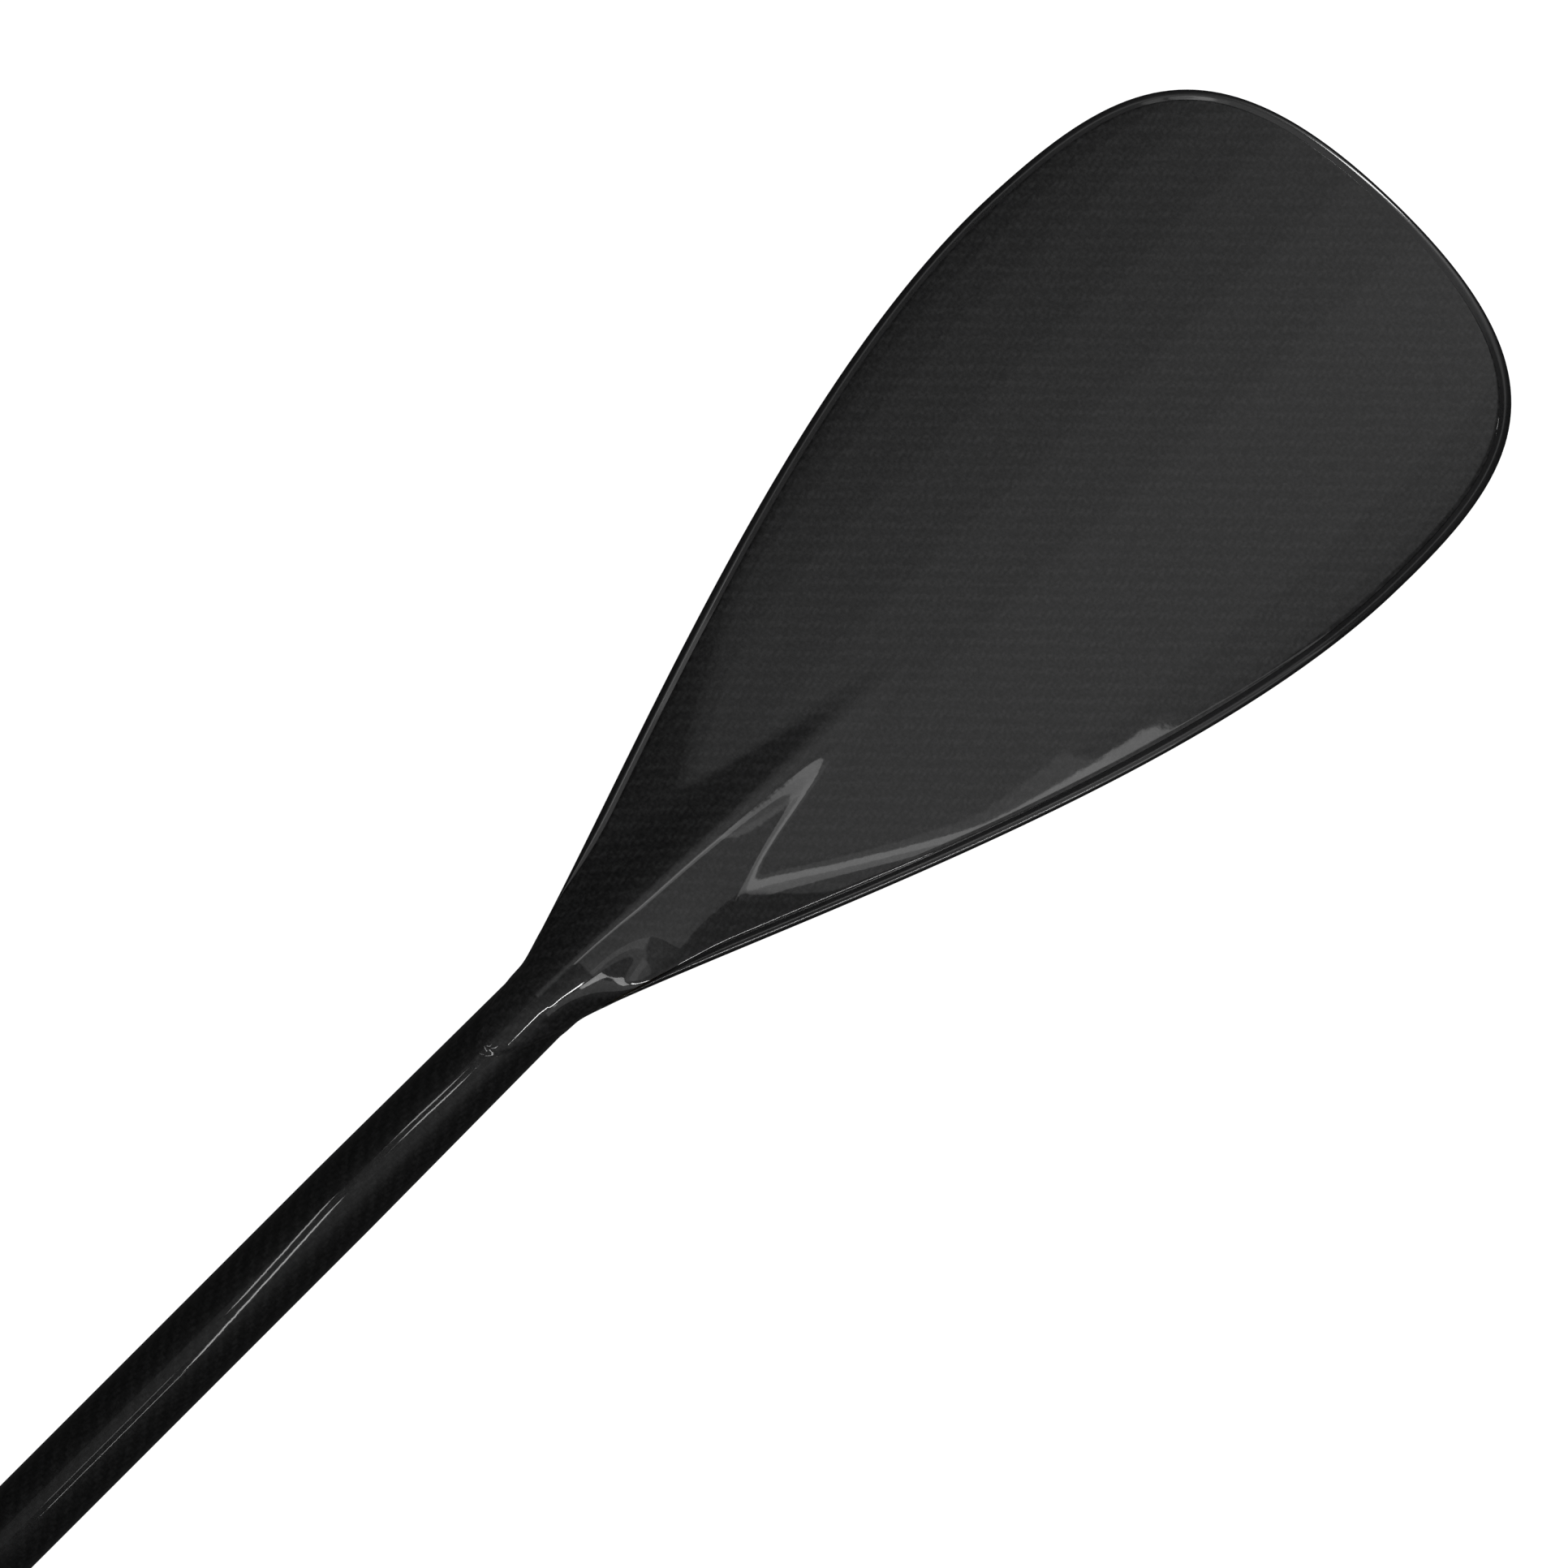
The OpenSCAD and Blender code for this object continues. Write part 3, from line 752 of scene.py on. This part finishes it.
def build_collar():
    """Split clamp ring with two ears for the bolt."""
    low, high = reach("clamp_collar")
    ring, ear, gap, bore = reach("clamp_collar", 1)[0] / -MM, 8, 1.5, 15.03
    a = math.degrees(math.asin(ear / ring))
    top, under = 6.5, EAR - 6.6
    tilt = math.degrees(math.asin(top / ear))
    small = math.degrees(math.asin(gap / ear))
    mouth = math.degrees(math.asin(gap / bore))
    outer = arc(EAR, 0, ear, small, tilt, 8)
    outer += [(EAR - 4.6, top), (EAR - 4.6, ear)] + arc(0, 0, ring, a, 360 - a, 96)
    outer += [(under, -ear), (under, -top)] + arc(EAR, 0, ear, -tilt, -small, 8)
    inner = arc(0, 0, bore, 360 - mouth, mouth, 96)
    ob = profile_solid("collar_body", outer + inner, low, high, 0.45 * MM)
    hole = [(AXIS_Z - 12 * MM, BOLT_HOLE), (AXIS_Z + 12 * MM, BOLT_HOLE)]
    return combine(ob, pin_shape(hole, "Z", (BOLT_X, EAR_Y, 0), 48))


def build_lever():
    """Cam lever: cam disc on the pin, a web, and an arm that wraps round the collar to a finger tab."""
    low, high = reach("cam_lever")
    arm_in, arm_out = 21.0, 24.2
    top = PIN + CAM_R
    meet = math.degrees(math.asin(top / arm_out))
    points = arc(EAR, PIN, CAM_R, 196, 452, 48)[:-1]
    points += arc(0, 0, arm_out, meet, 180, 64)
    points += [(-arm_out, -6)] + arc(-arm_out + 1.6, -13, 2.4, 132, 330, 20)
    points += [(-arm_in, -8)] + arc(0, 0, arm_in, 180, 29, 64)
    points += [polar(arm_out, 29)]
    ob = profile_solid("lever_body", points, low, high, 0.7 * MM)
    slot = block(BOLT_X - 3 * MM, BOLT_X + 3 * MM, EAR_Y - 7 * MM, EAR_Y + 9 * MM,
                 PIN_Z - 7 * MM, PIN_Z + 7 * MM)
    ob = combine(ob, slot)
    hole = [(low - MM, PIN_R + RUN), (high + MM, PIN_R + RUN)]
    return combine(ob, pin_shape(hole, "X", (0, EAR_Y, PIN_Z), 48))


def build_saddle():
    """Hard pad that the cam presses on."""
    low, high = reach("cam_saddle")
    z0, z1 = [(z - AXIS_Z) / MM for z in reach("cam_saddle", 2)]
    y0, y1 = [y / MM for y in reach("cam_saddle", 1)]
    seat = CAM_R + 0.1
    a = math.degrees(math.acos((PIN - z1) / seat))
    points = [(y0, z0), (y1, z0), (y1, z1)] + arc(EAR, PIN, seat, 270 + a, 270 - a, 24) + [(y0, z1)]
    ob = profile_solid("saddle_pad", points, low, high, 0.25 * MM)
    hole = [(AXIS_Z, BOLT_HOLE), (AXIS_Z + 14 * MM, BOLT_HOLE)]
    return combine(ob, pin_shape(hole, "Z", (BOLT_X, EAR_Y, 0), 48))


def build_bolt():
    """Eye bolt: plain shank, thread over the nut end and an eye round the lever pin."""
    z0 = reach("clamp_bolt", 2)[0]
    pitch, turns = 0.8 * MM, 11
    shank = [(z0, BOLT_R - 0.6 * MM)]
    for k in range(turns):
        z = z0 + 0.4 * MM + k * pitch
        shank += [(z, BOLT_R - 0.35 * MM), (z + 0.35 * pitch, BOLT_R), (z + 0.5 * pitch, BOLT_R)]
    shank += [(z0 + (turns + 0.5) * pitch, BOLT_R), (PIN_Z - 1 * MM, BOLT_R)]
    x0, x1 = reach("clamp_bolt")
    r, e = 4 * MM, 0.4 * MM
    eye = pin_shape([(x0, r - e), (x0 + e, r), (x1 - e, r), (x1, r - e)], "X", (0, EAR_Y, PIN_Z))
    ob = combine(pin_shape(shank, "Z", (BOLT_X, EAR_Y, 0)), eye, "UNION")
    ob.name = "eye_bolt"
    hole = [(x0 - MM, PIN_R + RUN), (x1 + MM, PIN_R + RUN)]
    return combine(ob, pin_shape(hole, "X", (0, EAR_Y, PIN_Z)))


def build_pin():
    """Lever pin with broken edges."""
    x0, x1 = reach("lever_pin")
    e = 0.4 * MM
    side = [(x0, PIN_R - e), (x0 + e, PIN_R), (x1 - e, PIN_R), (x1, PIN_R - e)]
    ob = pin_shape(side, "X", (0, EAR_Y, PIN_Z))
    ob.name = "pin_body"
    return ob


def build_nut():
    """Thumb nut with twelve flutes and broken edges."""
    z0, z1 = reach("tension_nut", 2)
    r, e = 6 * MM, 0.5 * MM
    flute_at, flute_r = 6.5 * MM, 0.9 * MM

    def flute(x, radius, a):
        if radius < 4 * MM:
            return radius
        d = math.radians((math.degrees(a) + 15) % 30 - 15)
        depth = flute_r ** 2 - (flute_at * math.sin(d)) ** 2
        return radius if depth <= 0 else min(radius, flute_at * math.cos(d) - math.sqrt(depth))

    loop = [(z0, 2.95 * MM), (z0, r - e), (z0 + 0.3 * e, r - 0.4 * e), (z0 + e, r), (z1 - e, r),
            (z1 - 0.3 * e, r - 0.4 * e), (z1, r - e), (z1, 2.95 * MM), (z1 - 0.4 * MM, 2.55 * MM),
            (z0 + 0.4 * MM, 2.55 * MM)]
    bm = bmesh.new()
    lathe(bm, loop, 240, flute, "Z", (BOLT_X, EAR_Y, 0))
    return finish_mesh("thumb_nut", bm)


def build_index_ring():
    """Ribbed ring with a key inside and a groove for the seal."""
    x0, x1 = reach("index_ring")
    r, rib_r, e = RING_R, 0.8 * MM, 0.8 * MM
    back, back_r = -1.9 * MM, 15.06 * MM
    seal0, seal1, seal_r = 8 * MM, 10.4 * MM, 14.9 * MM

    def rib(x, radius, a):
        if radius < r - 0.01 * MM:
            return radius
        d = (math.degrees(a) + 7.5) % 15 - 7.5
        side = r * math.sin(math.radians(d))
        high = rib_r ** 2 - side ** 2
        k = ease((x - 2.6 * MM) / MM) * ease((14.4 * MM - x) / MM)
        return radius + (0 if high <= 0 else k * math.sqrt(high))

    xs = [2.2, 2.6, 3, 3.2, 3.5, 3.8, 4.4, 9, 12.6, 13.2, 13.5, 13.8, 14, 14.4, 14.8]
    loop = [(x0, 15.4 * MM), (x0, r - e), (x0 + 0.3 * e, r - 0.3 * e), (x0 + e, r)]
    loop += [(x * MM, r) for x in xs]
    loop += [(x1 - e, r), (x1 - 0.3 * e, r - 0.3 * e), (x1, r - e), (x1, SLIDE_R + 0.35 * MM),
             (x1 - 0.35 * MM, SLIDE_R), (seal1, SLIDE_R), (seal1, seal_r), (seal0, seal_r),
             (seal0, SLIDE_R), (back, SLIDE_R), (back, back_r), (x0 + 0.3 * MM, back_r)]
    ob = ring_solid("ribbed_ring", loop, 480, rib)
    key = block(0, 6 * MM, -1.9 * MM, 1.9 * MM, AXIS_Z + 12.4 * MM, AXIS_Z + 13.6 * MM)
    return combine(ob, key, "UNION")


def build_seal():
    """O-ring in the index ring's groove."""
    x, r = centre("ring_seal", 0), size_of("ring_seal")[0] / 2
    middle = size_of("ring_seal")[1] / 2 - r
    section = [polar(r, 15 * k) for k in range(24)]
    return ring_solid("o_ring", [(x + a, middle + b) for a, b in section])


def build_sleeve():
    """Metal socket glued in the left shaft, slit under the clamp."""
    x0, x1 = reach("female_sleeve")
    low = -SHAFT_START["left"]
    e = 0.3 * MM
    r, inner = BORE_R - RUN, SLIDE_R
    loop = [(x0, inner + e), (x0, r - e), (x0 + e, r), (low, r), (low, SHAFT_R - e), (low + e, SHAFT_R),
            (x1 - e, SHAFT_R), (x1, SHAFT_R - e), (x1, inner + e), (x1 - e, inner), (x0 + e, inner)]
    ob = ring_solid("socket", loop)
    return combine(ob, block(-32 * MM, -1 * MM, 0, 20 * MM, AXIS_Z - 1.5 * MM, AXIS_Z + 1.5 * MM))


def build_spigot():
    """Carbon spigot with a step where it is glued in the right shaft and a keyway along the top."""
    x0, x1 = reach("spigot_tube")
    e = 0.3 * MM
    step, r, bore = 18 * MM, BORE_R - RUN, SPIGOT_R - 1.5 * MM
    loop = [(x0, bore + e), (x0, SPIGOT_R - e), (x0 + e, SPIGOT_R)]
    loop += [(mix(x0 + e, step - 0.5 * MM, k / 12), SPIGOT_R) for k in range(1, 13)]
    loop += [(step - 0.5 * MM, r - e), (step - 0.5 * MM + e, r), (x1 - e, r), (x1, r - e), (x1, bore + e),
             (x1 - e, bore), (x0 + e, bore)]
    ob = ring_solid("spigot", loop, 144)
    low = AXIS_Z + SPIGOT_R - 0.7 * MM
    return combine(ob, block(x0 - MM, 8 * MM, -2 * MM, 2 * MM, low, low + 2 * MM))


def build_cap():
    """Domed plug in the open end of the spigot."""
    x0, x1 = reach("spigot_end_cap")
    r, plug_r, e = SPIGOT_R - 0.4 * MM, SPIGOT_R - 1.55 * MM, 0.5 * MM
    face = reach("spigot_tube")[0] - 0.02 * MM
    side = [(x0, r - 2.2 * e), (x0 + 0.4 * e, r - 0.8 * e), (x0 + e, r - 0.2 * e), (x0 + 1.6 * e, r),
            (face - 0.3 * e, r), (face, r - 0.3 * e), (face, plug_r), (x1 - e, plug_r), (x1, plug_r - e)]
    ob = pin_shape(side, "X", (0, 0, AXIS_Z), 96)
    ob.name = "end_cap"
    return ob


def build_stop_ring():
    """Collar glued round the end of the right shaft; it stops the spigot at its shortest setting."""
    x0, x1 = reach("stop_ring")
    step = SHAFT_START["right"]
    r, thin, e = RING_R, SHAFT_R + 1.6 * MM, 0.8 * MM
    loop = [(x0, 14.1 * MM), (x0, r - e), (x0 + 0.3 * e, r - 0.3 * e), (x0 + e, r), (step - 0.5 * e, r),
            (step - 0.1 * e, r - 0.2 * e), (step + 0.1 * e, r - 0.6 * e), (step + 0.1 * e, thin + 0.25 * e),
            (step + 0.4 * e, thin), (x1 - e, thin), (x1 - 0.3 * e, thin - 0.3 * e), (x1, thin - e),
            (x1, SHAFT_R + 0.1 * MM), (step, SHAFT_R + 0.03 * MM), (step, BORE_R)]
    return ring_solid("stop_collar", loop)


def build_float_plug(side, flip):
    """Foam disc that closes the shaft against water."""
    low, high = sorted(abs(x) for x in reach(side + "_float_plug"))
    r, e = BORE_R - RUN, 0.6 * MM
    bm = bmesh.new()
    rod(bm, [(low, r - e), (low + e, r), (high - e, r), (high, r - e)], 64, "X", (0, 0, AXIS_Z))
    return finish_mesh(side + "_float", bm, flip=flip)


for side, hand in SIDES.items():
    stand_for(build_float_plug(side, hand < 0), side + "_half", side + "_float_plug")
stand_for(build_sleeve(), "left_half", "female_sleeve")
stand_for(build_collar(), "left_half", "clamp_collar")
stand_for(build_saddle(), "left_half", "cam_saddle")
stand_for(build_bolt(), "left_half", "clamp_bolt")
stand_for(build_pin(), "left_half", "lever_pin")
stand_for(build_lever(), "lever", "cam_lever")
stand_for(build_nut(), "nut", "tension_nut")
stand_for(build_index_ring(), "index_ring", "index_ring")
stand_for(build_seal(), "index_ring", "ring_seal")
stand_for(build_spigot(), "right_half", "spigot_tube")
stand_for(build_cap(), "right_half", "spigot_end_cap")
stand_for(build_stop_ring(), "right_half", "stop_ring")


# ---------------------------------------------------------------- stage, light and camera
FRAME_W = 585.454 * MM
LENS = 250
SENSOR = 36
ROLL = math.radians(11.3)
# directions round the camera's axis: back to the camera, along the shaft, and across it to the lower right
TO_CAMERA = Vector((0, -math.sin(ROLL), math.cos(ROLL)))
ALONG = Vector((1, 0, 0))
SIDEWAYS = Vector((0, -math.cos(ROLL), -math.sin(ROLL)))
AIM = Vector((NECK_X + 121 * MM, 0, AXIS_Z)) + SIDEWAYS * 6.7 * MM
EYE = AIM + TO_CAMERA * FRAME_W * LENS / SENSOR


def stand(ob, spot, target, run):
    """Puts a camera or lamp at spot, turned to the target, with its long side along run."""
    z = (spot - target).normalized()
    y = z.cross(run).normalized()
    ob.matrix_world = Matrix((y.cross(z), y, z)).transposed().to_4x4()
    ob.matrix_world.translation = spot


camera = bpy.data.objects.new("camera", bpy.data.cameras.new("camera"))
scene.collection.objects.link(camera)
camera.data.lens = LENS
camera.data.sensor_width = SENSOR
camera.data.clip_end = 50
# the shaft runs from the lower left of the frame to the upper right
stand(camera, EYE, AIM, ALONG + SIDEWAYS)
scene.camera = camera

scene.view_settings.view_transform = "Standard"

FLOOR = 30
FLOOR_Z = -0.5 * MM
floor_mesh = bpy.data.meshes.new("floor")
floor_mesh.from_pydata([(-FLOOR, -FLOOR, FLOOR_Z), (FLOOR, -FLOOR, FLOOR_Z), (FLOOR, FLOOR, FLOOR_Z),
                        (-FLOOR, FLOOR, FLOOR_Z)], [], [(0, 1, 2, 3)])
floor = bpy.data.objects.new("floor", floor_mesh)
scene.collection.objects.link(floor)
mat, tree, bsdf = shader("floor")
bsdf.inputs["Base Color"].default_value = (0.8, 0.8, 0.8, 1)
bsdf.inputs["Roughness"].default_value = 0.9
bsdf.inputs["Emission Color"].default_value = (1, 1, 1, 1)
bsdf.inputs["Emission Strength"].default_value = 0.95
floor_mesh.materials.append(mat)
floor.visible_glossy = False
floor.visible_diffuse = False

# the backdrop is white to the camera and nearly dark to reflections
world = bpy.data.worlds.new("studio")
scene.world = world
world.use_nodes = True
wt = world.node_tree
bg = wt.nodes["Background"]
path = wt.nodes.new("ShaderNodeLightPath")
bright = ramp(wt, path.outputs["Is Camera Ray"], 0, 1, 0.025, 1.0)
wt.links.new(bright, bg.inputs["Strength"])
bg.inputs["Color"].default_value = (1, 1, 1, 1)


def lamp(name, spot, target, run, long, wide, glow):
    """Flat lamp at spot that faces the target; its long side follows run and glow is its radiance."""
    light = bpy.data.lights.new(name, "AREA")
    light.shape = "RECTANGLE"
    light.size = long
    light.size_y = wide
    light.energy = math.pi * long * wide * glow
    ob = bpy.data.objects.new(name, light)
    scene.collection.objects.link(ob)
    ob.visible_camera = False
    stand(ob, spot, target, run)


def ray(along, across):
    """Direction at these angles (degrees) from the camera's axis."""
    return TO_CAMERA + ALONG * math.tan(math.radians(along)) + SIDEWAYS * math.tan(math.radians(across))


def panel(name, anchor, along, across, wide, tall, distance, glow):
    """Soft box that fills wide by tall degrees round a direction seen from the anchor."""
    d = ray(along, across).normalized()
    w, h = [2 * distance * math.tan(math.radians(a / 2)) for a in (wide, tall)]
    lamp(name, anchor + d * distance, anchor, SIDEWAYS.cross(d), w, h, glow)


def bar(name, anchor, start, end, distance, width, glow):
    """Thin lamp between two directions (along, across) seen from the anchor."""
    a, b = anchor + ray(*start) * distance, anchor + ray(*end) * distance
    lamp(name, (a + b) / 2, anchor, b - a, (b - a).length, width, glow)


def mirror_point(offset, tilt, distance):
    """Where a lamp must stand to shine back to the camera from the shaft, offset metres from the neck."""
    a = math.radians(tilt)
    n = TO_CAMERA * math.cos(a) + SIDEWAYS * math.sin(a)
    p = Vector((NECK_X + offset, 0, AXIS_Z)) + n * SHAFT_R
    d = (p - EYE).normalized()
    return p + (d - 2 * d.dot(n) * n) * distance, p


def strip(name, start, end, distance, width, glow):
    """Thin lamp whose reflection is a line on the shaft between two (offset, tilt) places."""
    (a, pa), (b, pb) = mirror_point(*start, distance), mirror_point(*end, distance)
    lamp(name, (a + b) / 2, (pa + pb) / 2, b - a, (b - a).length, width, glow)


# every lamp has a distance of its own, so that none lies in the plane of another
valley = Vector((NECK_X + 90 * MM, -20 * MM, AXIS_Z - 12 * MM))
panel("box_inner", valley, 22.5, 8, 15, 48, 0.8, 0.4)
bar("box_edge", valley, (15, -14), (30, -14), 0.82, 0.075, 1.15)
bar("box_edge_core", valley, (15, -15.5), (30, -15.5), 0.84, 0.035, 1.0)
bar("box_far", valley, (30, -15), (30, 28), 0.86, 0.04, 0.8)
bar("box_low", valley, (16, 27), (30, 27), 0.88, 0.10, 0.4)
for k in range(5):
    bar("sky_%d" % k, valley, (4 - 2 * k, -21.5), (56 + 2 * k, -21.5), 0.8 + 0.02 * k,
        0.084 * (k + 1), 0.095)
throat = Vector((NECK_X, -6 * MM, AXIS_Z + 14 * MM))
bar("neck_bar", throat, (-2, 21), (17, 31), 1.0, 0.035, 26)
panel("neck_soft", throat, 20.6, 36.4, 6.2, 4.2, 1.02, 4.5)
panel("neck_wash", throat, 12, 42, 16, 14, 1.04, 0.5)
tip = Vector((TIP_X - 10 * MM, 20 * MM, 6 * MM))
bar("tip_bar", tip, (44, -29), (60, -31), 0.5, 0.06, 18)
strip("tube_1", (-30 * MM, 2), (-59 * MM, -2), 1.0, 0.014, 8)
strip("tube_1b", (-32 * MM, -6), (-60 * MM, -10), 1.02, 0.014, 6)
strip("tube_2", (-102 * MM, -2), (-187 * MM, 13), 1.0, 0.014, 8)
strip("tube_2b", (-104 * MM, -12), (-160 * MM, -2), 1.02, 0.012, 7)
strip("tube_3", (-192 * MM, 14), (-264 * MM, 14), 1.0, 0.014, 9)
strip("tube_3b", (-196 * MM, 6), (-262 * MM, 6), 1.02, 0.014, 4)
middle = Vector((NECK_X - 150 * MM, 0, AXIS_Z))
panel("tube_soft", middle, 0, -4, 30, 34, 1.2, 0.12)
